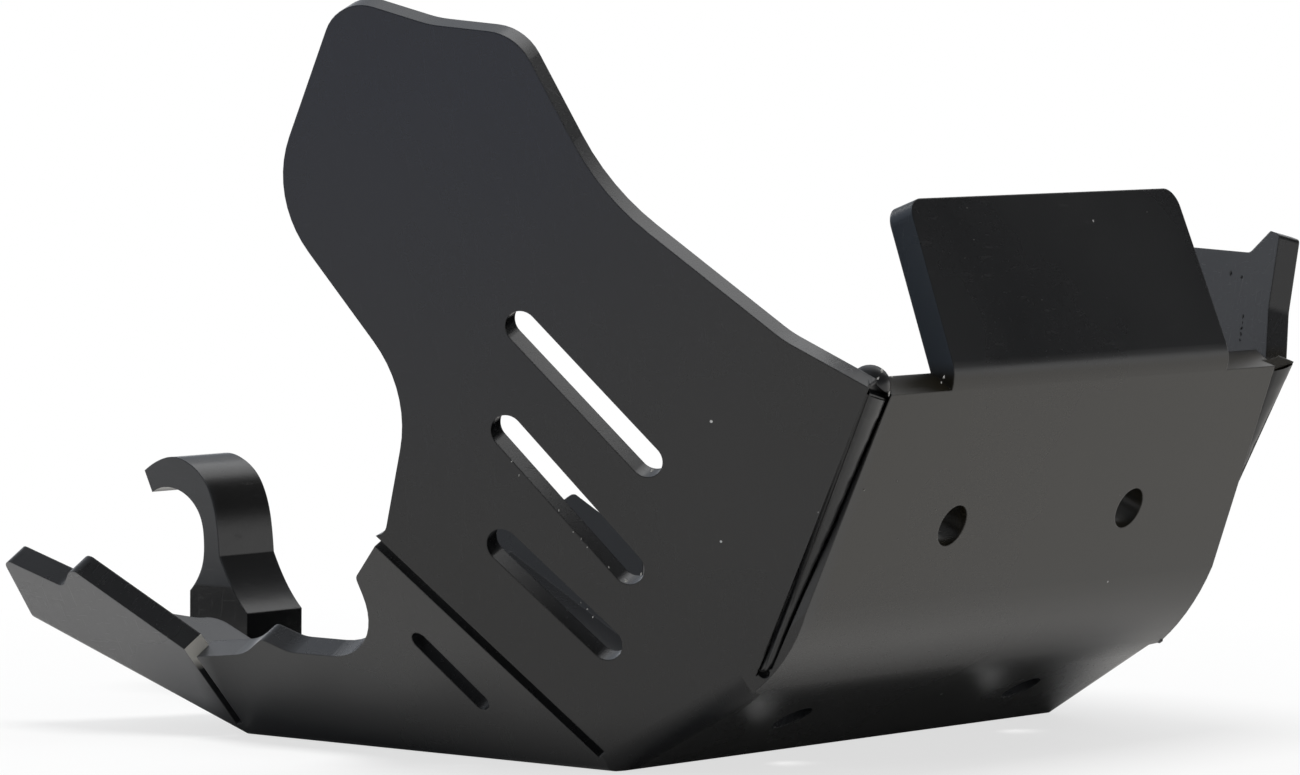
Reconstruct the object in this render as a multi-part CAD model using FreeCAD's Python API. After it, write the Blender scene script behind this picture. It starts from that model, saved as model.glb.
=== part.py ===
import FreeCAD, Part
import math
import os

# Skid plate for an off-road motorcycle, folded from one sheet of black plastic.
# Millimetres. +Z is up, -Y is the front of the motorcycle, +X its left side.
# The origin lies on the underside, in the middle of the flat floor panel.

# sheet and folds
sheetThickness = 8.0
foldRadius = 9.0
wingFoldRadius = 10.0
sideFoldRadius = 3.0
tipFoldRadius = 2.0
kerfWidth = 3.0
slotWidth = 9.5
sideSlotWidth = 6.0

# floor panel
floorLength = 144.0
floorHalfFront = 108.8
floorHalfRear = 98.3

# front of the plate, each panel with its rise above the horizontal
slopeRise = 30.3
slopeLength = 60.0
frontRise = 68.1
frontLength = 83.8
frontBendRadius = 55.0
frontInsetTop = 11.8
frontInsetLow = 5.6
shoulderRise = 1.7
flapRise = 111.1
flapLength = 52.0
flapNeck = 4.0
flapHalfBase = 69.5
flapHalfTop = 67.0
flapShift = 1.5
flapCornerRadius = 6.0
flapBendRadius = 11.0

# holes for the frame clamps and the guard's bolts
mountHoleDiameter = 12.5
frontHoleOffset = 44.5
frontHoleDrop = 42.5
slopeHoleOffset = 57.0
slopeHoleUp = 25.0

# wings, side walls and rear corners
wingHeight = 221.4
farWingHeight = 148.9
wingNormal = (-0.9270, -0.2940, -0.2330)
gapLength = 93.0
rearGapLength = 29.0
sideLean = 58.3
rampRise = 23.8
rampLength = 76.7
rampHalfRear = 112.9
earHalf = 58.0
tipNormal = (-0.8508, 0.0515, -0.5195)
webAtFront = 7.0
webAtRear = 4.0

# plastic welds in the front corners
cornerFootBack = 9.6
weldRadius = 5.2
weldHeadRadius = 5.8
grooveDepth = 4.5
stripDepth = 1.0

# hook for a frame tube, on the tongue behind the floor
tubeRadius = 15.8
tubeBehindFloor = 105.3
tubeHeight = 46.5
hookHalfWidth = 13.0
screwOffset = 7.0
screwDiameter = 6.0
screwHeadDiameter = 12.0
screwLength = 22.0
screwPlay = 0.2
threadPlay = 0.05
screwBoreOver = 2.0
tongueHalf = 54.0
tongueStraight = 40.0
tongueCornerRadius = 20.0

halfFloor = floorLength / 2.0
frontHalfTop = floorHalfFront - frontInsetTop
frontHalfLow = floorHalfFront - frontInsetLow
reachOfCuts = 4.0 * floorLength
tubeY = halfFloor + tubeBehindFloor
hookFront = tubeY - 2.114 * tubeRadius
hookRear = tubeY - 0.665 * tubeRadius
screwY = (hookFront + hookRear) / 2.0
tongueEnd = hookRear + 2.2
tongueEndHalf = hookHalfWidth + 2.0


def vec(x, y, z):
    return FreeCAD.Vector(x, y, z)


def unit(v):
    w = FreeCAD.Vector(v)
    w.normalize()
    return w


def mirrored(shape):
    return shape.mirror(vec(0, 0, 0), vec(1, 0, 0))


def rise(angle):
    """Unit direction that runs forward and climbs by the angle."""
    a = math.radians(angle)
    return vec(0, -math.cos(a), math.sin(a))


def backOf(angle):
    """Unit direction into the plate, square to a panel that climbs by the angle."""
    a = math.radians(angle)
    return vec(0, math.sin(a), math.cos(a))


def cornerArc(before, corner, after, radius):
    toBefore = unit(before - corner)
    toAfter = unit(after - corner)
    half = toBefore.getAngle(toAfter) / 2.0
    reach = radius / math.tan(half)
    middle = unit(toBefore + toAfter)
    start = corner + toBefore * reach
    end = corner + toAfter * reach
    centre = corner + middle * (radius / math.sin(half))
    return start, centre - middle * radius, end


def outline(origin, across, up, corners):
    """Flat face from corners (across, up, rounding radius)."""
    points = [origin + across * a + up * b for a, b, r in corners]
    edges = []
    starts = []
    ends = []
    for i, (a, b, r) in enumerate(corners):
        if r > 0:
            start, middle, end = cornerArc(points[i - 1], points[i], points[(i + 1) % len(points)], r)
            starts.append(start)
            ends.append(end)
            edges.append(Part.Arc(start, middle, end).toShape())
        else:
            starts.append(points[i])
            ends.append(points[i])
    for i in range(len(points)):
        nextStart = starts[(i + 1) % len(points)]
        if ends[i].distanceToPoint(nextStart) > 0.001:
            edges.append(Part.makeLine(ends[i], nextStart))
    wire = Part.Wire(Part.__sortEdges__(edges))
    return Part.Face(wire)


def panel(origin, across, up, inward, corners):
    return outline(origin, across, up, corners).extrude(inward * sheetThickness)


def scaled(size, shares):
    """Corners given as shares of one size."""
    return [(a * size, b * size, r * size) for a, b, r in shares]


def inPlane(point, origin, across, up, radius=0.0):
    """Corner of an outline at a point in space."""
    offset = point - origin
    return (offset.dot(across), offset.dot(up), radius)


def between(first, second, share):
    return first + (second - first) * share


def beyond(origin, normal, size=reachOfCuts):
    """Block that fills the side of a plane its normal points to."""
    n = unit(normal)
    side = n.cross(vec(0, 0, 1))
    if side.Length < 0.01:
        side = vec(1, 0, 0)
    side = unit(side)
    up = n.cross(side)
    corners = [(-size, -size, 0), (size, -size, 0), (size, size, 0), (-size, size, 0)]
    return outline(origin, side, up, corners).extrude(n * size)


def bore(centre, direction, diameter, depth):
    """Round cutter centred on a point of the outer face."""
    d = unit(direction)
    return Part.makeCylinder(diameter / 2.0, depth, centre - d * (depth / 2.0), d)


def slot(origin, across, up, start, end, width, depth):
    """Round-ended cutter between two points of a panel's plane."""
    a = origin + across * start[0] + up * start[1]
    b = origin + across * end[0] + up * end[1]
    along = unit(b - a)
    normal = unit(across.cross(up))
    side = along.cross(normal) * (width / 2.0)
    edges = [
        Part.makeLine(a + side, b + side),
        Part.Arc(b + side, b + along * (width / 2.0), b - side).toShape(),
        Part.makeLine(b - side, a - side),
        Part.Arc(a - side, a - along * (width / 2.0), a + side).toShape(),
    ]
    face = Part.Face(Part.Wire(edges))
    face.translate(normal * (-depth))
    return face.extrude(normal * (2.0 * depth))


def bentStrip(start, parts, halfWidth):
    """Strip of sheet with straight runs (rise, length) and bends of the given outer radii."""
    outer = [start]
    for angle, length, radius in parts:
        outer.append(outer[-1] + rise(angle) * length)
    inner = [start + backOf(parts[0][0]) * sheetThickness]
    for i in range(1, len(parts)):
        middle = (parts[i - 1][0] + parts[i][0]) / 2.0
        half = math.radians(abs(parts[i][0] - parts[i - 1][0]) / 2.0)
        inner.append(outer[i] + backOf(middle) * (sheetThickness / math.cos(half)))
    inner.append(outer[-1] + backOf(parts[-1][0]) * sheetThickness)
    origin = vec(0, 0, 0)
    corners = []
    for i, point in enumerate(outer):
        radius = parts[i][2] if 0 < i < len(parts) else 0.0
        corners.append((point.y, point.z, radius))
    for i in range(len(inner) - 1, -1, -1):
        radius = parts[i][2] - sheetThickness if 0 < i < len(parts) else 0.0
        corners.append((inner[i].y, inner[i].z, max(radius, 0.0)))
    face = outline(origin, vec(0, 1, 0), vec(0, 0, 1), corners)
    face.translate(vec(-halfWidth, 0, 0))
    return face.extrude(vec(2.0 * halfWidth, 0, 0))


def foldRounding(start, end, normalA, normalB, radius, overrun):
    """Cutter that rounds the sharp outer corner along a fold between two flat panels."""
    line = unit(end - start)
    a = unit(normalA)
    b = unit(normalB)
    acrossA = unit(line.cross(a))
    if acrossA.dot(b) > 0:
        acrossA = acrossA * -1.0
    acrossB = unit(line.cross(b))
    if acrossB.dot(a) > 0:
        acrossB = acrossB * -1.0
    reach = radius * math.tan(a.getAngle(b) / 2.0)
    foot = start - line * overrun
    tangentA = foot + acrossA * reach
    tangentB = foot + acrossB * reach
    centre = tangentA - a * radius
    middle = centre + unit(a + b) * radius
    outer = foot + (a + b) * 3.0
    edges = [
        Part.Arc(tangentA, middle, tangentB).toShape(),
        Part.makeLine(tangentB, tangentB + b * 1.0),
        Part.makeLine(tangentB + b * 1.0, outer),
        Part.makeLine(outer, tangentA + a * 1.0),
        Part.makeLine(tangentA + a * 1.0, tangentA),
    ]
    face = Part.Face(Part.Wire(edges))
    return face.extrude(line * ((end - start).Length + 2.0 * overrun))


# corner points of the right-hand side, which is the near side
cornerFront = vec(-floorHalfFront, -halfFloor, 0)
cornerRear = vec(-floorHalfRear, halfFloor, 0)
slopeUp = rise(slopeRise)
slopeIn = backOf(slopeRise)
creasePoint = vec(0, -halfFloor, 0) + slopeUp * slopeLength
frontUp = rise(frontRise)
frontIn = backOf(frontRise)
shoulderPoint = creasePoint + frontUp * frontLength
acrossX = vec(1, 0, 0)

wingOut = unit(vec(*wingNormal))
wingAcross = unit(vec(wingOut.y, -wingOut.x, 0)) * -1.0
wingUp = unit(wingAcross.cross(wingOut))
if wingUp.z < 0:
    wingUp = wingUp * -1.0

sideAlong = unit(cornerFront - cornerRear)
flatOut = unit(vec(sideAlong.y, -sideAlong.x, 0))
if flatOut.x > 0:
    flatOut = flatOut * -1.0
leanAngle = math.radians(sideLean)
sideUp = flatOut * math.cos(leanAngle) + vec(0, 0, 1) * math.sin(leanAngle)
sideOut = flatOut * math.sin(leanAngle) - vec(0, 0, 1) * math.cos(leanAngle)

rampUp = vec(0, math.cos(math.radians(rampRise)), math.sin(math.radians(rampRise)))
rampIn = vec(0, -math.sin(math.radians(rampRise)), math.cos(math.radians(rampRise)))
rampCorner = vec(-rampHalfRear, halfFloor, 0) + rampUp * rampLength
tipAlong = unit(cornerRear - rampCorner)
tipOut = unit(vec(*tipNormal) - tipAlong * vec(*tipNormal).dot(tipAlong))
tipUp = unit(tipAlong.cross(tipOut))
if tipUp.z < 0:
    tipUp = tipUp * -1.0

bendStart = slopeLength - frontBendRadius * math.tan(math.radians((frontRise - slopeRise) / 2.0))
wingFold = unit(wingOut.cross(slopeIn))
if wingFold.z < 0:
    wingFold = wingFold * -1.0
wingFoldEnd = cornerFront + wingFold * (bendStart / wingFold.dot(slopeUp))

# each gap runs where two neighbouring walls would meet
frontGap = unit(wingOut.cross(sideOut))
if frontGap.z < 0:
    frontGap = frontGap * -1.0
frontGapIn = unit(wingOut + sideOut) * -1.0
rearGap = unit(sideAlong * -0.29 + sideUp * 0.957)
rearGapIn = unit(tipOut + sideOut) * -1.0


def onWing(y, z):
    """Point of the wing's outer face at a given length and height."""
    drop = wingOut.y * (y - cornerFront.y) + wingOut.z * (z - cornerFront.z)
    return vec(cornerFront.x - drop / wingOut.x, y, z)


# the open corner between each wing's front edge and the front panel's side edge
wingEdgeTop = onWing(shoulderPoint.y - 1.7, shoulderPoint.z + 2.6)
wingEdgeFoot = onWing(creasePoint.y + cornerFootBack, creasePoint.z - 1.2)
panelEdgeTop = vec(-frontHalfTop, shoulderPoint.y, shoulderPoint.z)
panelEdgeFoot = vec(-frontHalfLow, creasePoint.y + 3.4, creasePoint.z + 0.4)
cornerAlong = unit(wingEdgeTop - wingEdgeFoot)
outAtFoot = unit((panelEdgeFoot - wingEdgeFoot).cross(cornerAlong))
outAtTop = unit((panelEdgeTop - wingEdgeTop).cross(cornerAlong))
cornerOut = unit(outAtFoot + outAtTop)
cornerOut = unit(cornerOut - cornerAlong * cornerOut.dot(cornerAlong))
cornerAcross = unit(cornerAlong.cross(cornerOut))


def makeBase():
    """Floor, lower slope and front panel as one bent strip, trimmed at the sides."""
    start = vec(0, halfFloor, 0)
    parts = [
        (0.0, floorLength, 0.0),
        (slopeRise, slopeLength, foldRadius),
        (frontRise, frontLength + 2.0 * shoulderRise, frontBendRadius),
    ]
    strip = bentStrip(start, parts, 1.2 * floorHalfFront)
    for flip in (1.0, -1.0):
        for normal in (wingOut, sideOut):
            point = vec(cornerFront.x * flip, cornerFront.y, cornerFront.z)
            strip = strip.cut(beyond(point, vec(normal.x * flip, normal.y, normal.z)))
    shoulderFace = frontUp * sheetThickness - frontIn * shoulderRise
    return strip.cut(beyond(shoulderPoint, shoulderFace))


def makePanelTrim():
    """Cutter along the free side edge of the front panel, down to the end of its slit."""
    low = (panelEdgeFoot - shoulderPoint).dot(frontUp)
    wide = frontHalfLow + 5.0 * sheetThickness
    over = 0.1 * frontLength
    corners = [
        (frontHalfTop, over, 0.0),
        (frontHalfTop, 0.0, 0.0),
        (frontHalfLow - 0.6, 0.84 * low, 0.0),
        (frontHalfLow, low, 0.0),
        (wide, low, 0.0),
        (wide, over, 0.0),
    ]
    face = outline(shoulderPoint - frontIn * sheetThickness, acrossX, frontUp, corners)
    return face.extrude(frontIn * (3.0 * sheetThickness))


def makeFlap():
    """Narrow upper flap that leans back from the front panel."""
    root = 1.5 * sheetThickness
    start = shoulderPoint - frontUp * root
    parts = [
        (frontRise, root + flapNeck, 0.0),
        (flapRise, flapLength, flapBendRadius),
    ]
    strip = bentStrip(start, parts, flapHalfBase)
    strip.translate(vec(flapShift, 0, 0))
    base = shoulderPoint + frontUp * flapNeck + vec(flapShift, 0, 0)
    up = rise(flapRise)
    deep = 4.0 * sheetThickness
    corners = [
        (-flapHalfBase, -deep, 0.0),
        (flapHalfBase, -deep, 0.0),
        (flapHalfBase, 0.0, 0.0),
        (flapHalfTop, flapLength, flapCornerRadius),
        (-flapHalfTop, flapLength, flapCornerRadius),
        (-flapHalfBase, 0.0, 0.0),
    ]
    face = outline(base - backOf(flapRise) * deep, acrossX, up, corners)
    return strip.common(face.extrude(backOf(flapRise) * (2.0 * deep)))


def wingFromOutline(height, shares, slots):
    """Wing plate from the fold up; the gap and the open corner are common to both wings."""
    gapTop = cornerFront + frontGap * gapLength
    corners = [
        (0.0, 0.0, 0.0),
        inPlane(cornerFront + frontGap * (1.04 * gapLength), cornerFront, wingAcross, wingUp),
        inPlane(gapTop + wingAcross * 2.4 + wingUp * 1.4, cornerFront, wingAcross, wingUp, 0.5 * sheetThickness),
    ]
    corners += scaled(height, shares)
    foot = inPlane(wingEdgeFoot, cornerFront, wingAcross, wingUp)
    corners.append(foot)
    corners.append((foot[0], foot[0] * wingFold.dot(wingUp) / wingFold.dot(wingAcross), 0.0))
    wing = panel(cornerFront, wingAcross, wingUp, wingOut * -1.0, corners)
    for start, end in slots:
        first = (start[0] * wingHeight, start[1] * wingHeight)
        last = (end[0] * wingHeight, end[1] * wingHeight)
        wing = wing.cut(slot(cornerFront, wingAcross, wingUp, first, last, slotWidth, 2.5 * sheetThickness))
    return wing


upperSlot = ((-0.0845, 0.5795), (0.0668, 0.4119))
middleSlot = ((-0.1147, 0.4440), (0.0325, 0.2710))
lowerSlot = ((-0.1323, 0.2949), (-0.0045, 0.1703))


def makeNearWing():
    """Tall wing that shields the engine's side cover, with its swept outline."""
    edgeTop = inPlane(wingEdgeTop, cornerFront, wingAcross, wingUp)
    shares = [
        (-0.2394, 0.4919, 0.172),
        (-0.4079, 0.7412, 0.154),
        (-0.2918, 1.0, 0.054),
        (-0.1739, 0.9648, 0.136),
        (-0.0614, 0.9539, 0.063),
        (0.0334, 0.7516, 0.316),
        (0.2575, 0.5714, 0.136),
        (edgeTop[0] / wingHeight, edgeTop[1] / wingHeight, 0.005),
    ]
    return wingFromOutline(wingHeight, shares, (upperSlot, middleSlot, lowerSlot))


def makeFarWing():
    """Lower wing of the other side, drawn on the near side and mirrored later."""
    shares = [
        (-0.383, 0.658, 0.168),
        (-0.188, 0.900, 0.168),
        (0.107, 0.960, 0.200),
        (0.383, 0.954, 0.020),
        (0.433, 1.000, 0.004),
        (0.462, 0.994, 0.010),
        (0.472, 0.846, 0.080),
        (0.500, 0.719, 0.094),
    ]
    return wingFromOutline(farWingHeight, shares, (middleSlot, lowerSlot))


def makeSideWall():
    """Leaning wall beside the floor, with its scalloped top edge."""
    front = inPlane(cornerFront + frontGap * gapLength, cornerRear, sideAlong, sideUp, 1.0)
    rear = inPlane(cornerRear + rearGap * (0.97 * rearGapLength), cornerRear, sideAlong, sideUp, 1.0)
    corners = [(0.0, 0.0, 0.0), rear]
    corners += scaled(floorLength, [
        (0.097, 0.206, 0.139),
        (0.165, 0.249, 0.021),
        (0.229, 0.222, 0.083),
        (0.503, 0.222, 0.167),
        (0.510, 0.424, 0.021),
    ])
    corners.append(front)
    corners.append(inPlane(cornerFront, cornerRear, sideAlong, sideUp))
    wall = panel(cornerRear, sideAlong, sideUp, sideOut * -1.0, corners)
    first = (0.613 * floorLength, 0.279 * floorLength)
    last = (0.707 * floorLength, 0.144 * floorLength)
    return wall.cut(slot(cornerRear, sideAlong, sideUp, first, last, sideSlotWidth, 2.5 * sheetThickness))


def makeTipWall(shares):
    gapTop = inPlane(cornerRear + rearGap * rearGapLength, cornerRear, tipAlong, tipUp, 1.0)
    corners = [(0.0, 0.0, 0.0), gapTop] + scaled(rampLength, shares)
    return panel(cornerRear, tipAlong, tipUp, tipOut * -1.0, corners)


def makeNearTip():
    return makeTipWall([
        (-0.841, 0.377, 0.039),
        (-0.874, 0.256, 0.039),
        (-1.167, 0.231, 0.026),
        (-1.016, 0.0, 0.0),
    ])


def makeFarTip():
    """Rear corner wall of the other side, a little longer and higher."""
    return makeTipWall([
        (-0.383, 0.373, 0.05),
        (-0.590, 0.411, 0.10),
        (-0.920, 0.412, 0.03),
        (-0.952, 0.313, 0.03),
        (-1.250, 0.248, 0.03),
        (-1.050, 0.0, 0.0),
    ])


def makeEar():
    """Rising corner panel between the floor and the rear corner wall."""
    inner = 0.7 * rampLength
    corners = [
        (-earHalf, -sheetThickness, 0.0),
        (-floorHalfRear + 2.0, -sheetThickness, 0.0),
        (-floorHalfRear, 0.0, 0.0),
        (-rampHalfRear, rampLength, 0.0),
        (-earHalf - sheetThickness, inner, 1.5 * sheetThickness),
        (-earHalf, inner, 5.0),
    ]
    origin = vec(0, halfFloor, 0)
    ear = panel(origin, acrossX, rampUp, rampIn, corners)
    return ear.cut(beyond(vec(0, 0, 0), vec(0, 0, -1)))


def makeTongue():
    """Flat tongue behind the floor that carries the hook."""
    root = halfFloor - 1.5 * sheetThickness
    shoulder = halfFloor + tongueStraight
    corners = [
        (-tongueHalf, root, 0.0),
        (tongueHalf, root, 0.0),
        (tongueHalf, shoulder, tongueCornerRadius),
        (tongueEndHalf, tongueEnd, 6.0),
        (-tongueEndHalf, tongueEnd, 6.0),
        (-tongueHalf, shoulder, tongueCornerRadius),
    ]
    return panel(vec(0, 0, 0), acrossX, vec(0, 1, 0), vec(0, 0, 1), corners)


def makeWeld(headDrop, blobRadius):
    """Rounded weld run along the inside of the open corner, with a blob at its head."""
    foot = between(wingEdgeFoot, panelEdgeFoot, 0.5) + cornerAlong * 6.0 - cornerOut * (1.8 * weldRadius)
    head = between(wingEdgeTop, panelEdgeTop, 0.85) - outAtTop * (1.2 * weldRadius) - cornerAlong * headDrop
    bar = Part.makeCylinder(weldRadius, (head - foot).Length, foot, head - foot)
    bar = bar.fuse(Part.makeSphere(blobRadius, head))
    return bar.fuse(Part.makeSphere(weldRadius, foot))


def cornerPrism(footShares, topShares, startAt, endOver, outside, depth):
    """Prism along the open corner, between shares of the way from wing edge to panel edge."""
    sections = []
    for first, last, shares, shift in (
        (wingEdgeFoot, panelEdgeFoot, footShares, startAt),
        (wingEdgeTop, panelEdgeTop, topShares, endOver),
    ):
        left = between(first, last, shares[0]) + cornerAlong * shift
        right = between(first, last, shares[1]) + cornerAlong * shift
        outer = cornerOut * outside
        inner = cornerOut * -depth
        points = [left + outer, right + outer, right + inner, left + inner]
        sections.append(Part.makePolygon(points + [points[0]]))
    return Part.makeLoft(sections, True, True)


def makeGroove():
    """Groove left between the two edges, open outward, with a round lower end."""
    groove = cornerPrism((0.0, 1.0), (0.0, 1.0), 0.0, 0.0, grooveDepth, grooveDepth)
    middle = between(wingEdgeFoot, panelEdgeFoot, 0.5)
    radius = abs((panelEdgeFoot - wingEdgeFoot).dot(cornerAcross)) / 2.0
    start = middle + cornerOut * grooveDepth
    return groove.fuse(Part.makeCylinder(radius, 2.0 * grooveDepth, start, cornerOut * -1.0))


def makeStrip():
    """Filler strip laid in the groove, a little below the two edges."""
    return cornerPrism((0.22, 0.66), (0.13, 0.90), 1.0, -2.0, -stripDepth, grooveDepth + 1.5)


def kerf(corner, along, inward, start, reach):
    """Thin cutter that parts two walls from a short web upwards."""
    side = unit(along.cross(inward))
    origin = corner - side * (kerfWidth / 2.0) - inward * sheetThickness
    deep = 4.0 * sheetThickness
    corners = [(start, 0, 0), (reach, 0, 0), (reach, deep, 0), (start, deep, 0)]
    face = outline(origin, along, inward, corners)
    return face.extrude(side * kerfWidth)


def makePlate():
    """All panels, mitred where they meet, fused, then gapped, drilled and rounded at the folds."""
    base = makeBase()
    trim = makePanelTrim()
    base = base.cut(trim).cut(mirrored(trim))
    mitre = unit(frontGap.cross(frontGapIn))
    if mitre.y > 0:
        mitre = mitre * -1.0
    wing = makeNearWing().cut(beyond(cornerFront, mitre * -1.0))
    farWing = makeFarWing().cut(beyond(cornerFront, mitre * -1.0))
    side = makeSideWall().cut(beyond(cornerFront, mitre))
    pieces = [wing, mirrored(farWing), makeNearTip(), mirrored(makeFarTip())]
    pieces += [makeWeld(1.0, weldHeadRadius), mirrored(makeWeld(9.0, weldRadius))]
    for half in (side, makeEar()):
        pieces.append(half)
        pieces.append(mirrored(half))
    pieces.append(makeTongue())
    pieces.append(makeFlap())
    plate = base.multiFuse(pieces).removeSplitter()
    plate = plate.cut(onBothSides([
        kerf(cornerFront, frontGap, frontGapIn, webAtFront, 1.4 * gapLength),
        kerf(cornerRear, rearGap, rearGapIn, webAtRear, 2.0 * rearGapLength),
        makeGroove(),
        bore(shoulderPoint + vec(-frontHoleOffset, 0, 0) - frontUp * frontHoleDrop,
             frontIn, mountHoleDiameter, 5.0 * sheetThickness),
        bore(vec(-slopeHoleOffset, -halfFloor, 0) + slopeUp * slopeHoleUp,
             slopeIn, mountHoleDiameter, 5.0 * sheetThickness),
        foldRounding(cornerFront, wingFoldEnd, wingOut, slopeIn * -1.0, wingFoldRadius, 6.0),
        foldRounding(cornerRear, cornerFront, sideOut, vec(0, 0, -1), sideFoldRadius, 4.0),
        foldRounding(rampCorner, cornerRear, tipOut, rampIn * -1.0, tipFoldRadius, 4.0),
    ]))
    plate = plate.multiFuse(onBothSides([makeStrip()])).removeSplitter()
    screwCuts = []
    for x in (-screwOffset, screwOffset):
        screwCuts.append(Part.makeCylinder(screwDiameter / 2.0 + screwPlay, 3.0 * sheetThickness,
                                           vec(x, screwY, -sheetThickness)))
        screwCuts.append(screwHead(x, screwPlay))
    return plate.cut(screwCuts)


def onBothSides(shapes):
    return shapes + [mirrored(shape) for shape in shapes]


def screwHead(x, play):
    """Countersunk head, flush with the underside."""
    big = screwHeadDiameter / 2.0 + play
    small = screwDiameter / 2.0 + play
    return Part.makeCone(big, small, big - small, vec(x, screwY, 0), vec(0, 0, 1))


def throatPoints(shares):
    """Points around the tube's centre, in shares of its radius."""
    return [vec(-hookHalfWidth, tubeY + a * tubeRadius, tubeHeight + b * tubeRadius) for a, b in shares]


def smoothEdge(points):
    curve = Part.BSplineCurve()
    curve.interpolate(points)
    return curve.toShape()


def makeHook():
    """Hook with a round open throat, a slim arm and a flared foot."""
    throat = throatPoints([(0.31, 0.886), (-0.05, 1.0), (-0.576, 0.854), (-0.918, 0.462),
                           (-1.013, -0.032), (-0.981, -0.443), (-0.842, -0.759), (-0.665, -0.981)])
    back = throatPoints([(-1.405, -0.285), (-1.342, 0.285), (-1.205, 0.823), (-0.955, 1.245),
                         (-0.62, 1.49), (-0.24, 1.595), (0.139, 1.513), (0.506, 1.297)])
    flare = throatPoints([(-2.114, -1.348), (-1.80, -0.981), (-1.53, -0.538), (-1.405, -0.285)])
    footRear = vec(-hookHalfWidth, hookRear, sheetThickness)
    footFront = vec(-hookHalfWidth, hookFront, sheetThickness)
    wire = Part.Wire([
        smoothEdge(throat),
        Part.makeLine(throat[-1], footRear),
        Part.makeLine(footRear, footFront),
        Part.makeLine(footFront, flare[0]),
        smoothEdge(flare),
        smoothEdge(back),
        Part.makeLine(back[-1], throat[0]),
    ])
    hook = Part.Face(wire).extrude(vec(2.0 * hookHalfWidth, 0, 0))
    depth = screwLength + screwBoreOver - sheetThickness
    for x in (-screwOffset, screwOffset):
        hole = Part.makeCylinder(screwDiameter / 2.0, depth, vec(x, screwY, sheetThickness))
        hook = hook.cut(hole)
    return hook


def makeScrews():
    """Two countersunk screws, driven from below into the hook's foot."""
    socketRadius = screwDiameter / 3.0
    screws = []
    for x in (-screwOffset, screwOffset):
        shank = Part.makeCylinder(screwDiameter / 2.0 - threadPlay, screwLength, vec(x, screwY, 0))
        socket = Part.makeCylinder(socketRadius, socketRadius, vec(x, screwY, 0))
        screws.append(shank.fuse(screwHead(x, 0.0)).cut(socket).removeSplitter())
    return Part.makeCompound(screws)


os.makedirs("parts", exist_ok=True)
plate = makePlate()
hook = makeHook()
screws = makeScrews()
for name, shape in (("skid_plate", plate), ("tube_hook", hook), ("hook_screws", screws)):
    shape.exportStep("parts/" + name + ".step")
    box = shape.BoundBox
    print(name, shape.ShapeType, "solids", len(shape.Solids), "valid", shape.isValid(),
          "volume", round(shape.Volume), "faces", len(shape.Faces),
          [round(v, 1) for v in (box.XMin, box.XMax, box.YMin, box.YMax, box.ZMin, box.ZMax)])
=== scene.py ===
import math
import bpy
from mathutils import Matrix, Vector


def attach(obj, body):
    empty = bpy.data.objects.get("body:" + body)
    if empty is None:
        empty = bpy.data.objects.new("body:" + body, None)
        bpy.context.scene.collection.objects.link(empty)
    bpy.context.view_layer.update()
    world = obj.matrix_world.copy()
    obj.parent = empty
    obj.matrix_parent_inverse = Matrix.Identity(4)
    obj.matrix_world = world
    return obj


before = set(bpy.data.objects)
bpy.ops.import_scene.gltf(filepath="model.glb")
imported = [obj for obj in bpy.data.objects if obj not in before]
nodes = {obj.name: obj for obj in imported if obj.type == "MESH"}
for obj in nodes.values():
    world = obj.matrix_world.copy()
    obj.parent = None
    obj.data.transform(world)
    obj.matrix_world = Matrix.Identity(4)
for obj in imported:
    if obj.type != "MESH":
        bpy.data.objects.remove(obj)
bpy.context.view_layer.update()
print("frame loaded", sorted(nodes))

scene = bpy.context.scene
scene.view_settings.view_transform = "Standard"


# small helpers for the node trees
def newMaterial(name):
    material = bpy.data.materials.new(name)
    material.use_nodes = True
    tree = material.node_tree
    tree.nodes.clear()
    output = tree.nodes.new("ShaderNodeOutputMaterial")
    shader = tree.nodes.new("ShaderNodeBsdfPrincipled")
    tree.links.new(shader.outputs["BSDF"], output.inputs["Surface"])
    return material, tree, shader


def addNode(tree, kind, **inputs):
    node = tree.nodes.new(kind)
    for key, value in inputs.items():
        node.inputs[key].default_value = value
    return node


# a socket takes either a link or a plain value
def feed(tree, slot, value):
    if isinstance(value, bpy.types.NodeSocket):
        tree.links.new(value, slot)
    else:
        slot.default_value = value


def noiseAt(tree, coords, scale, detail, roughness=0.55, stretch=(1, 1, 1)):
    mapping = tree.nodes.new("ShaderNodeMapping")
    mapping.inputs["Scale"].default_value = stretch
    tree.links.new(coords, mapping.inputs["Vector"])
    noise = addNode(tree, "ShaderNodeTexNoise", Scale=scale, Detail=detail, Roughness=roughness)
    tree.links.new(mapping.outputs["Vector"], noise.inputs["Vector"])
    return noise.outputs["Fac"]


def rampOf(tree, source, stops):
    ramp = tree.nodes.new("ShaderNodeValToRGB")
    band = ramp.color_ramp
    while len(band.elements) < len(stops):
        band.elements.new(0.5)
    for element, (place, value) in zip(band.elements, stops):
        element.position = place
        element.color = (value, value, value, 1)
    tree.links.new(source, ramp.inputs["Fac"])
    return ramp.outputs["Color"]


def rangeOf(tree, source, low, high, toLow=0.0, toHigh=1.0):
    node = tree.nodes.new("ShaderNodeMapRange")
    for key, value in (("From Min", low), ("From Max", high), ("To Min", toLow), ("To Max", toHigh)):
        node.inputs[key].default_value = value
    tree.links.new(source, node.inputs["Value"])
    return node.outputs["Result"]


def mixColour(tree, factor, first, second, blend="MIX"):
    node = tree.nodes.new("ShaderNodeMix")
    node.data_type = "RGBA"
    node.blend_type = blend
    slots = [s for s in node.inputs if s.enabled]
    for slot, value in zip(slots, (factor, first, second)):
        feed(tree, slot, value)
    return [s for s in node.outputs if s.enabled][0]


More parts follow.
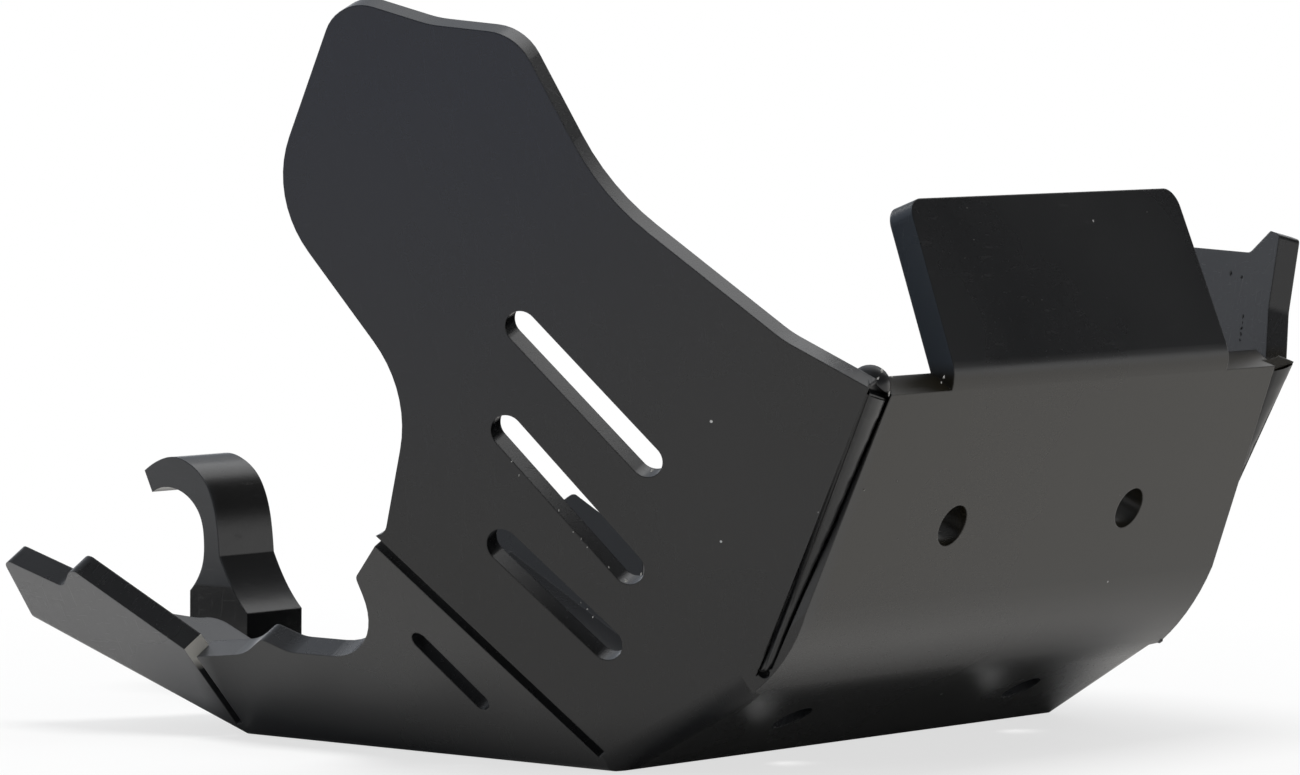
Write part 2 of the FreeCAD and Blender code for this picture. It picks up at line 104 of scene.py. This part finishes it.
def combine(tree, first, second, operation="ADD"):
    node = tree.nodes.new("ShaderNodeMath")
    node.operation = operation
    for slot, value in zip(node.inputs, (first, second)):
        feed(tree, slot, value)
    return node.outputs["Value"]


# how far a direction agrees with a given one: 1 along it, 0 square to it
def leanTowards(tree, source, direction):
    node = tree.nodes.new("ShaderNodeVectorMath")
    node.operation = "DOT_PRODUCT"
    node.inputs[1].default_value = direction
    tree.links.new(source, node.inputs[0])
    return node.outputs["Value"]


def addBump(tree, shader, height, depth, strength=1.0):
    bump = addNode(tree, "ShaderNodeBump", Strength=strength, Distance=depth)
    tree.links.new(height, bump.inputs["Height"])
    tree.links.new(bump.outputs["Normal"], shader.inputs["Normal"])
    return bump


# black sheet: the plate's satin skin with its faint grain, handling marks and a few pale flecks, with patches
# of painted light and shade
sheetLook = {
    "black": (0.010, 0.0105, 0.0115, 1),
    "dusty": (0.012, 0.012, 0.012, 1),
    "fleck": (0.55, 0.55, 0.54, 1),
    "roughLow": 0.22,
    "roughHigh": 0.32,
    "grainSize": 1400.0,     # this and the other sizes of texture count for one metre
    "cloudSize": 9.0,
    "scratchSize": 90.0,
    "scratches": [           # one set runs across the plate, the other along it
        {"stretch": (1.0, 14.0, 1.0), "onset": (0.62, 0.72)},
        {"stretch": (9.0, 1.0, 12.0), "onset": (0.63, 0.73)},
    ],
    "scratchDust": 0.35,
    "scratchRough": 0.06,
    "scratchDepth": -0.6,    # as a share of the grain's height, like the next one
    "fleckHeight": 2.0,
    "dustOnset": (0.35, 0.75),
    "dustMost": 0.5,
    "roughOnset": (0.3, 0.7),
    "fleckSize": 95.0,
    "fleckShare": 0.035,
    "fleckRim": 1.3,
    "patchSize": 37.0,       # flecks stay in scattered patches
    "patchOnset": (0.60, 0.64),
    "grainHeight": 0.00004,
    "grainStrength": 0.35,
    "edgeSoftness": 0.0006,  # metres
    "edgeSamples": 4,
    # painted light and shade: broad lit and shaded patches laid into the black; each gives axis, where the
    # patch starts and where it is full (metres), the way that its faces look, and the colour that the black
    # goes over to
    "facingOnset": (0.6, 0.8),
    "paintedTones": [
        # painted light: a bluish cast on the upper part of the near wing's outer face
        {"ranges": (("X", -0.112, -0.150), ("Z", 0.060, 0.190)), "facing": (-0.927, -0.294, -0.233),
         "colour": (0.002, 0.0060, 0.0190, 1)},
        # painted shade: the front panel darker and warmer
        {"ranges": (("Y", -0.120, -0.135), ("X", -0.100, -0.094), ("Z", 0.1135, 0.1110)),
         "colour": (0.0080, 0.0062, 0.0025, 1)},
        # painted highlight: paler grey on the far wing's inner face near its top
        {"ranges": (("X", 0.096, 0.100), ("Z", 0.098, 0.112)), "facing": (-0.927, 0.294, 0.233),
         "colour": (0.034, 0.035, 0.038, 1)},
        # painted light: a paler bluish cast on the near side face of the flap above the front panel
        {"ranges": (("X", -0.062, -0.066), ("Z", 0.112, 0.116), ("X", -0.095, -0.090)),
         "facing": (-1.0, 0.0, 0.0), "colour": (0.024, 0.032, 0.043, 1)},
        # painted light: pale grey on the rear corner's outer wall
        {"ranges": (("Y", 0.074, 0.084), ("X", -0.098, -0.104)), "facing": (-0.85, 0.05, -0.52),
         "colour": (0.125, 0.125, 0.127, 1)},
        # painted highlight: a pale band on the cut face at the gap between the side wall and the rear corner
        {"ranges": (("Y", 0.0806, 0.0810), ("Y", 0.0846, 0.0838), ("Z", 0.019, 0.022), ("X", -0.094, -0.096)),
         "facing": (0.1, -1.0, -0.1), "colour": (0.42, 0.41, 0.38, 1)},
    ],
}


def sheetMaterial(name, look):
    material, tree, shader = newMaterial(name)
    places = tree.nodes.new("ShaderNodeTexCoord")
    coords, normals = places.outputs["Object"], places.outputs["Normal"]
    clouds = noiseAt(tree, coords, look["cloudSize"], detail=4.0)
    fine = noiseAt(tree, coords, look["grainSize"], detail=2.0)
    marks = 0.0
    for scratch in look["scratches"]:
        lines = noiseAt(tree, coords, look["scratchSize"], detail=3.0, roughness=0.6,
                        stretch=scratch["stretch"])
        marks = combine(tree, marks, rangeOf(tree, lines, *scratch["onset"]), "MAXIMUM")
    cells = addNode(tree, "ShaderNodeTexVoronoi", Scale=look["fleckSize"])
    tree.links.new(coords, cells.inputs["Vector"])
    fleckEdge = look["fleckShare"] * look["fleckRim"]
    spot = rangeOf(tree, cells.outputs["Distance"], look["fleckShare"], fleckEdge, toLow=1.0, toHigh=0.0)
    patches = rangeOf(tree, noiseAt(tree, coords, look["patchSize"], detail=1.0), *look["patchOnset"])
    spot = combine(tree, spot, patches, "MULTIPLY")
    dust = combine(tree, rangeOf(tree, clouds, *look["dustOnset"], 0.0, look["dustMost"]),
                   combine(tree, marks, look["scratchDust"], "MULTIPLY"))
    parts = tree.nodes.new("ShaderNodeSeparateXYZ")
    tree.links.new(coords, parts.inputs["Vector"])
    colour = look["black"]
    # painted light and shade laid into the black, patch by patch
    for paintedTone in look["paintedTones"]:
        share = 1.0
        for axis, start, end in paintedTone["ranges"]:
            within = rangeOf(tree, parts.outputs[axis], start, end)
            share = combine(tree, share, within, "MULTIPLY")
        if "facing" in paintedTone:
            lean = leanTowards(tree, normals, paintedTone["facing"])
            share = combine(tree, share, rangeOf(tree, lean, *look["facingOnset"]), "MULTIPLY")
        colour = mixColour(tree, share, colour, paintedTone["colour"])
    dusty = mixColour(tree, 1.0, colour, look["dusty"], "ADD")
    colour = mixColour(tree, dust, colour, dusty)
    colour = mixColour(tree, spot, colour, look["fleck"])
    tree.links.new(colour, shader.inputs["Base Color"])
    rough = rangeOf(tree, clouds, *look["roughOnset"], look["roughLow"], look["roughHigh"])
    rough = combine(tree, rough, combine(tree, marks, look["scratchRough"], "MULTIPLY"))
    tree.links.new(rough, shader.inputs["Roughness"])
    height = combine(tree, fine, combine(tree, marks, look["scratchDepth"], "MULTIPLY"))
    height = combine(tree, height, combine(tree, spot, look["fleckHeight"], "MULTIPLY"))
    bump = addBump(tree, shader, height, look["grainHeight"], look["grainStrength"])
    # light runs softly over every edge, as on a sawn and broken edge
    soft = addNode(tree, "ShaderNodeBevel", Radius=look["edgeSoftness"])
    soft.samples = look["edgeSamples"]
    tree.links.new(soft.outputs["Normal"], bump.inputs["Normal"])
    return material


# block of the hook, a little glossier than the sheet; its near side is painted paler above the foot as
# painted light, and a band of its arm painted darker as painted shade
hookLook = dict(sheetLook, roughLow=0.15, roughHigh=0.22, fleckShare=0.02, grainSize=900.0, paintedTones=[
    # painted light: the near side paler above the foot
    {"ranges": (("X", -0.0122, -0.0128), ("Z", 0.0325, 0.0335)), "colour": (0.0330, 0.0355, 0.0400, 1)},
    # painted shade: a darker band on the front of the arm
    {"ranges": (("X", -0.0115, -0.0105), ("Y", 0.1640, 0.1600), ("Z", 0.0300, 0.0500),
                ("Z", 0.0720, 0.0660)),
     "colour": (0.0060, 0.0060, 0.0060, 1)},
])

# zinc coated steel of the hook's screws
screwLook = {
    "bright": (0.52, 0.52, 0.51, 1),
    "dull": (0.30, 0.29, 0.28, 1),
    "stainSize": 420.0,
    "stainOnset": (0.4, 0.7),
    "rough": 0.34,
    "roughSpread": 0.15,
    "roughOnset": (0.3, 0.7),
    "grainSize": 2600.0,
    "grainHeight": 0.00003,
}


def screwMaterial(look):
    material, tree, shader = newMaterial("zincSteel")
    coords = tree.nodes.new("ShaderNodeTexCoord").outputs["Object"]
    stain = noiseAt(tree, coords, look["stainSize"], detail=4.0)
    dullness = rangeOf(tree, stain, *look["stainOnset"])
    tree.links.new(mixColour(tree, dullness, look["bright"], look["dull"]), shader.inputs["Base Color"])
    shader.inputs["Metallic"].default_value = 1.0
    roughest = look["rough"] + look["roughSpread"]
    rough = rangeOf(tree, stain, *look["roughOnset"], look["rough"], roughest)
    tree.links.new(rough, shader.inputs["Roughness"])
    addBump(tree, shader, noiseAt(tree, coords, look["grainSize"], detail=2.0), look["grainHeight"])
    return material


def dress(node, material):
    nodes[node].data.materials.clear()
    nodes[node].data.materials.append(material)


dress("skid_plate", sheetMaterial("blackSheet", sheetLook))
dress("tube_hook", sheetMaterial("blackBlock", hookLook))
dress("hook_screws", screwMaterial(screwLook))
print("materials on")


# filler laid in the two front corners, between the wing's edge and the panel's edge
filler = {
    "wingEdge": ((-0.10266, -0.11419, 0.02912), (-0.10970, -0.15680, 0.11060)),     # foot, head
    "panelEdge": ((-0.10320, -0.12040, 0.03070), (-0.09700, -0.15508, 0.10804)),
    "runShare": (0.015, 0.975),     # where it starts and ends along the corner
    "fromShare": (0.24, 0.13),      # its two sides as shares of the groove, at foot and head
    "toShare": (0.66, 1.00),
    "widening": 1.9,                # the panel's side reaches its head value this much sooner
    "rows": 36,
    "columns": 8,
    "crown": 0.0009,                # metres, like the next two
    "sink": 0.0006,
    "depth": 0.0026,                # how far its sides reach down into the groove
    "endRound": 0.05,               # share of the run over which the foot end narrows
    "tipShare": 0.2,                # width that is left at that end
    "ripples": ((0.00012, 1.7, 0.0), (0.00008, 3.9, 1.0)),      # height, turn for each row, start
}


def makeFiller(look, side):
    foot, head = (Vector(p) for p in look["wingEdge"])
    panelFoot, panelHead = (Vector(p) for p in look["panelEdge"])
    run = (head - foot).normalized()
    points, faces = [], []
    rows, columns = look["rows"], look["columns"]
    start, end = look["runShare"]
    (lowFoot, lowHead), (highFoot, highHead) = look["fromShare"], look["toShare"]
    for row in range(rows + 1):
        t = start + (end - start) * row / rows
        left, right = foot.lerp(head, t), panelFoot.lerp(panelHead, t)
        out = (right - left).cross(run).normalized()
        low = lowFoot + (lowHead - lowFoot) * t
        high = highFoot + (highHead - highFoot) * min(t * look["widening"], 1.0)
        ending = min(1.0, row / rows / look["endRound"])
        middle = (low + high) / 2
        half = (high - low) / 2 * max(look["tipShare"], math.sqrt(ending * (2 - ending)))
        ripple = sum(tall * math.sin(row * turn + first) for tall, turn, first in look["ripples"])
        for column in range(columns + 1):
            u = column / columns
            level = (look["crown"] + ripple) * math.sin(math.pi * u) - look["sink"]
            if column in (0, columns):
                level = -look["depth"]
            spot = left.lerp(right, middle + half * (2 * u - 1)) + out * level
            points.append((spot.x * side, spot.y, spot.z))
    width = columns + 1
    for row in range(rows):
        for column in range(columns):
            a = row * width + column
            quad = (a, a + 1, a + width + 1, a + width)
            faces.append(quad if side > 0 else quad[::-1])
    return points, faces


# flecks and burrs: pale scraps at the sawn edges and on the faces, and a row of small dark marks inside the
# far wing
# each is its place in metres, then its half size in millimetres
flecks = {
    "corners": 5,
    "turnEach": 2.4,            # radians from one fleck to the next
    "reachMiddle": 0.7,         # the rim is uneven: a middle reach and a swing about it
    "reachSwing": 0.3,
    "reachTurn": 2.1,
    "lean": 0.25,
    "narrow": 0.8,
    "thick": (0.35, 0.2),       # the two tips, outwards and forwards, as shares of the half size
    "pale": [
        (-0.1293, -0.0661, 0.0740, 0.42), (-0.1268, -0.0691, 0.0680, 0.40), (-0.1257, -0.0711, 0.0661, 0.38),
        (-0.1247, -0.0724, 0.0639, 0.40), (-0.1362, -0.0549, 0.0874, 0.50), (-0.1348, -0.0563, 0.0835, 0.55),
        (-0.1194, -0.0819, 0.0547, 0.80), (-0.1185, -0.0864, 0.0568, 0.60), (-0.1217, -0.0777, 0.0584, 0.45),
        (-0.1235, -0.0938, 0.0861, 0.90), (-0.1220, -0.0683, 0.0480, 0.35), (-0.1211, -0.0698, 0.0463, 0.45),
        (-0.1202, -0.0711, 0.0441, 0.40), (-0.1013, -0.1550, 0.1150, 0.80), (-0.1030, -0.1549, 0.1128, 0.65),
        (-0.0983, -0.1552, 0.1084, 0.95), (-0.0960, -0.1545, 0.1130, 0.55), (-0.0723, -0.1553, 0.1120, 0.70),
        (-0.0740, -0.1556, 0.1105, 0.45), (-0.0944, -0.1444, 0.0815, 0.50), (-0.0798, -0.1451, 0.0833, 0.30),
        (-0.0695, -0.1383, 0.0663, 0.25), (-0.0555, -0.1413, 0.0737, 0.30), (0.0372, -0.1409, 0.0728, 0.25),
        (-0.0386, -0.1391, 0.1571, 0.22), (-0.0399, -0.1424, 0.1483, 0.22), (0.0506, -0.1403, 0.1538, 0.26),
        (-0.0469, -0.1443, 0.1435, 0.20), (0.0168, -0.1493, 0.1304, 0.24), (-0.0158, -0.1491, 0.1310, 0.20),
    ],
    "dark": [
        (0.1163, -0.1270, 0.1337, 0.95), (0.1145, -0.1320, 0.1327, 0.90),
        (0.1107, -0.1350, 0.1214, 0.90), (0.1103, -0.1351, 0.1196, 0.85), (0.1098, -0.1351, 0.1180, 0.90),
        (0.1093, -0.1352, 0.1162, 0.80), (0.1089, -0.1352, 0.1144, 0.75),
    ],
}


# small flattened lozenges, each turned a little differently
def makeFlecks(look, kind):
    points, faces = [], []
    corners = look["corners"]
    for index, (x, y, z, size) in enumerate(look[kind]):
        r = size / 1000.0
        base = len(points)
        for k in range(corners):
            angle = index * look["turnEach"] + k * 2 * math.pi / corners
            swing = math.sin(index + k * look["reachTurn"])
            reach = r * (look["reachMiddle"] + look["reachSwing"] * swing)
            across, up = reach * math.cos(angle), reach * math.sin(angle)
            points.append((x + look["lean"] * up, y + look["narrow"] * across, z + up))
        dx, dy = (share * r for share in look["thick"])
        points += [(x - dx, y - dy, z), (x + dx, y + dy, z)]
        for k in range(corners):
            a, b = base + k, base + (k + 1) % corners
            faces += [(a, b, base + corners + 1), (b, a, base + corners)]
    return points, faces


scrapLook = {
    "pale": {"name": "paleScrap", "rough": 0.45,
             "colours": ((0.62, 0.61, 0.58, 1), (0.34, 0.33, 0.31, 1))},
    "dark": {"name": "darkMarkFinish", "rough": 0.60,
             "colours": ((0.004, 0.004, 0.005, 1), (0.012, 0.012, 0.012, 1))},
    "grainSize": 2200.0,
    "grainOnset": (0.35, 0.65),
    "roughOnset": (0.3, 0.7),
    "roughSpread": 0.15,
    "grainHeight": 0.00005,
}


def scrapMaterial(look, kind):
    material, tree, shader = newMaterial(look[kind]["name"])
    coords = tree.nodes.new("ShaderNodeTexCoord").outputs["Object"]
    grain = noiseAt(tree, coords, look["grainSize"], detail=3.0)
    colour = mixColour(tree, rangeOf(tree, grain, *look["grainOnset"]), *look[kind]["colours"])
    tree.links.new(colour, shader.inputs["Base Color"])
    rough = look[kind]["rough"]
    tree.links.new(rangeOf(tree, grain, *look["roughOnset"], rough, rough + look["roughSpread"]),
                   shader.inputs["Roughness"])
    addBump(tree, shader, grain, look["grainHeight"])
    return material


def addPiece(name, points, faces, material, smooth=False):
    mesh = bpy.data.meshes.new(name)
    mesh.from_pydata(points, [], faces)
    mesh.materials.append(material)
    if smooth:
        mesh.polygons.foreach_set("use_smooth", [True] * len(faces))
    piece = bpy.data.objects.new(name, mesh)
    scene.collection.objects.link(piece)
    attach(piece, "root")
    return piece


fillerLook = dict(sheetLook, dusty=(0.030, 0.030, 0.029, 1), roughLow=0.28, roughHigh=0.42, paintedTones=[])
fillerMaterial = sheetMaterial("blackFiller", fillerLook)
for fillerName, fillerSide in (("fillerRight", 1), ("fillerLeft", -1)):
    addPiece(fillerName, *makeFiller(filler, fillerSide), fillerMaterial, True)
for scrapName, scrapKind in (("paleFlecks", "pale"), ("darkMarks", "dark")):
    addPiece(scrapName, *makeFlecks(flecks, scrapKind), scrapMaterial(scrapLook, scrapKind))
print("filler and flecks on")


# studio: pale floor, three soft lamps, a white band at the horizon and two soft glows in the air
studio = {
    "floorSize": 14.0,
    "floorDrop": 0.0002,
    "floorColour": (0.86, 0.86, 0.85, 1),
    "floorRough": 0.9,
    "floorGloss": 0.1,
    "shadowVeil": 0.7,              # share of plain white that lies over the shadow by the plate
    "shadowReach": (0.12, 0.42),    # distance over which the floor goes over to plain white
    "footHalf": (0.104, 0.098),     # half sizes of the patch that the sheet mirrors dark, then its rim
    "footRim": 0.034,
    # painted light: the glow that the floor gives in the sheet's reflections
    "mirrorGlow": (0.84, 0.825, 0.80, 1),
    "plainWhite": (1, 1, 1, 1),
    "lampAim": (0.0, 0.0, 0.08),
    "topLamp": {"place": (0.0, 0.0, 2.4), "size": 1.2, "power": 44.0, "mirrored": False},
    "leftLamp": {"place": (2.3, 0.3, 1.75), "size": 1.5, "power": 5.0, "mirrored": True},
    "rearLamp": {"place": (0.4, 2.4, 1.25), "size": 0.9, "power": 7.0, "mirrored": True},
    "horizon": ((0.0, 1.0), (0.10, 1.0), (0.20, 0.08), (1.0, 0.06)),
    "glows": [
        {"towards": (0.62, 0.12, 0.775), "from": 0.84, "to": 0.97, "colour": (0.50, 0.50, 0.50, 1)},
        {"towards": (0.0, 0.93, 0.36), "from": 0.15, "to": 0.85, "colour": (0.38, 0.41, 0.46, 1)},
    ],
    # black cards, unseen, that darken a part of what the glossy sheet mirrors
    "cardBlack": (0.004, 0.004, 0.004, 1),
    "cards": [
        {"middle": (-0.172, 0.270), "half": (0.102, 0.136), "low": 0.0, "high": 0.0205},  # beside the hook
        {"middle": (0.030, -0.045), "half": (0.0, 0.055), "low": 0.030, "high": 0.165},  # between the wings
    ],
}


def makeFloor(look):
    half = look["floorSize"] / 2
    mesh = bpy.data.meshes.new("studioFloor")
    corners = [(-half, -half, 0), (half, -half, 0), (half, half, 0), (-half, half, 0)]
    mesh.from_pydata(corners, [], [(0, 1, 2, 3)])
    floor = bpy.data.objects.new("studioFloor", mesh)
    floor.location.z = -look["floorDrop"]
    scene.collection.objects.link(floor)
    material, tree, shader = newMaterial("paleFloor")
    shader.inputs["Base Color"].default_value = look["floorColour"]
    shader.inputs["Roughness"].default_value = look["floorRough"]
    shader.inputs["Specular IOR Level"].default_value = look["floorGloss"]
    # for the camera the floor goes over to plain white with distance from the plate; in what the sheet
    # mirrors, the floor glows white as painted light outside the dark patch under the plate, where its own
    # shaded colour shows
    path = tree.nodes.new("ShaderNodeLightPath")
    mirrored = combine(tree, path.outputs["Is Glossy Ray"], path.outputs["Is Transmission Ray"], "MAXIMUM")
    place = tree.nodes.new("ShaderNodeTexCoord").outputs["Object"]
    length = tree.nodes.new("ShaderNodeVectorMath")
    length.operation = "LENGTH"
    tree.links.new(place, length.inputs[0])
    near, far = look["shadowReach"]
    seenShare = rangeOf(tree, length.outputs["Value"], near, far, look["shadowVeil"])
    parts = tree.nodes.new("ShaderNodeSeparateXYZ")
    tree.links.new(place, parts.inputs["Vector"])
    rims = []
    for axis, reach in zip("XY", look["footHalf"]):
        size = combine(tree, parts.outputs[axis], 0.0, "ABSOLUTE")
        rims.append(rangeOf(tree, size, reach, reach + look["footRim"]))
    mirrorShare = combine(tree, rims[0], rims[1], "MAXIMUM")
    share = combine(tree, combine(tree, path.outputs["Is Camera Ray"], seenShare, "MULTIPLY"),
                  combine(tree, mirrored, mirrorShare, "MULTIPLY"))
    white = tree.nodes.new("ShaderNodeEmission")
    tree.links.new(mixColour(tree, path.outputs["Is Camera Ray"], look["mirrorGlow"], look["plainWhite"]),
                   white.inputs["Color"])
    white.inputs["Strength"].default_value = 1.0
    mix = tree.nodes.new("ShaderNodeMixShader")
    tree.links.new(share, mix.inputs["Fac"])
    tree.links.new(shader.outputs["BSDF"], mix.inputs[1])
    tree.links.new(white.outputs["Emission"], mix.inputs[2])
    output = [n for n in tree.nodes if n.type == "OUTPUT_MATERIAL"][0]
    tree.links.new(mix.outputs["Shader"], output.inputs["Surface"])
    mesh.materials.append(material)


def makeLamp(name, look, aim):
    data = bpy.data.lights.new(name, "AREA")
    data.shape = "SQUARE"
    data.size = look["size"]
    data.energy = look["power"]
    lamp = bpy.data.objects.new(name, data)
    lamp.location = look["place"]
    beam = Vector(aim) - Vector(look["place"])
    lamp.rotation_euler = beam.to_track_quat("-Z", "Y").to_euler()
    lamp.visible_glossy = look["mirrored"]
    scene.collection.objects.link(lamp)


def makeWorld(look):
    world = bpy.data.worlds.new("studioAir")
    scene.world = world
    world.use_nodes = True
    tree = world.node_tree
    tree.nodes.clear()
    output = tree.nodes.new("ShaderNodeOutputWorld")
    fill = tree.nodes.new("ShaderNodeBackground")
    seen = tree.nodes.new("ShaderNodeBackground")
    split = tree.nodes.new("ShaderNodeSeparateXYZ")
    along = tree.nodes.new("ShaderNodeTexCoord").outputs["Generated"]
    tree.links.new(along, split.inputs["Vector"])
    band = rampOf(tree, split.outputs["Z"], look["horizon"])
    for glow in look["glows"]:
        lean = leanTowards(tree, along, glow["towards"])
        share = rangeOf(tree, lean, glow["from"], glow["to"])
        band = mixColour(tree, share, band, glow["colour"], "ADD")
    tree.links.new(band, fill.inputs["Color"])
    fill.inputs["Strength"].default_value = 1.0
    seen.inputs["Color"].default_value = look["plainWhite"]
    path = tree.nodes.new("ShaderNodeLightPath")
    mix = tree.nodes.new("ShaderNodeMixShader")
    tree.links.new(path.outputs["Is Camera Ray"], mix.inputs["Fac"])
    tree.links.new(fill.outputs["Background"], mix.inputs[1])
    tree.links.new(seen.outputs["Background"], mix.inputs[2])
    tree.links.new(mix.outputs["Shader"], output.inputs["Surface"])


def makeCard(look, black):
    x, y = look["middle"]
    dx, dy = look["half"]
    corners = [(x - dx, y - dy, look["low"]), (x + dx, y + dy, look["low"]),
               (x + dx, y + dy, look["high"]), (x - dx, y - dy, look["high"])]
    mesh = bpy.data.meshes.new("blackCard")
    mesh.from_pydata(corners, [], [(0, 1, 2, 3)])
    material, tree, shader = newMaterial("blackCard")
    shader.inputs["Base Color"].default_value = black
    shader.inputs["Roughness"].default_value = 1.0
    shader.inputs["Specular IOR Level"].default_value = 0.0
    mesh.materials.append(material)
    card = bpy.data.objects.new("blackCard", mesh)
    card.visible_camera = False
    card.visible_shadow = False
    card.visible_diffuse = False
    scene.collection.objects.link(card)


makeFloor(studio)
for cardLook in studio["cards"]:
    makeCard(cardLook, studio["cardBlack"])
for lampName in ("topLamp", "leftLamp", "rearLamp"):
    makeLamp(lampName, studio[lampName], studio["lampAim"])
makeWorld(studio)
print("studio ready")


# camera: low, from the plate's front right corner, through a long lens
view = {
    "place": (-1.79022, -1.35206, 0.23246),
    "towards": (0.79650, 0.60174, -0.05913),
    "right": (0.60310, -0.79765, 0.00662),      # holds the picture's slight roll
    "lens": 211.5,
    "filmWidth": 36.0,
    "farClip": 60.0,
}


def makeCamera(look):
    data = bpy.data.cameras.new("photoView")
    data.lens = look["lens"]
    data.sensor_width = look["filmWidth"]
    data.sensor_fit = "HORIZONTAL"
    data.clip_end = look["farClip"]
    camera = bpy.data.objects.new("photoView", data)
    back = -Vector(look["towards"]).normalized()
    right = Vector(look["right"]).normalized()
    up = back.cross(right).normalized()
    turn = Matrix((right, up, back)).transposed().to_4x4()
    camera.matrix_world = Matrix.Translation(look["place"]) @ turn
    scene.collection.objects.link(camera)
    scene.camera = camera


makeCamera(view)
print("camera set")
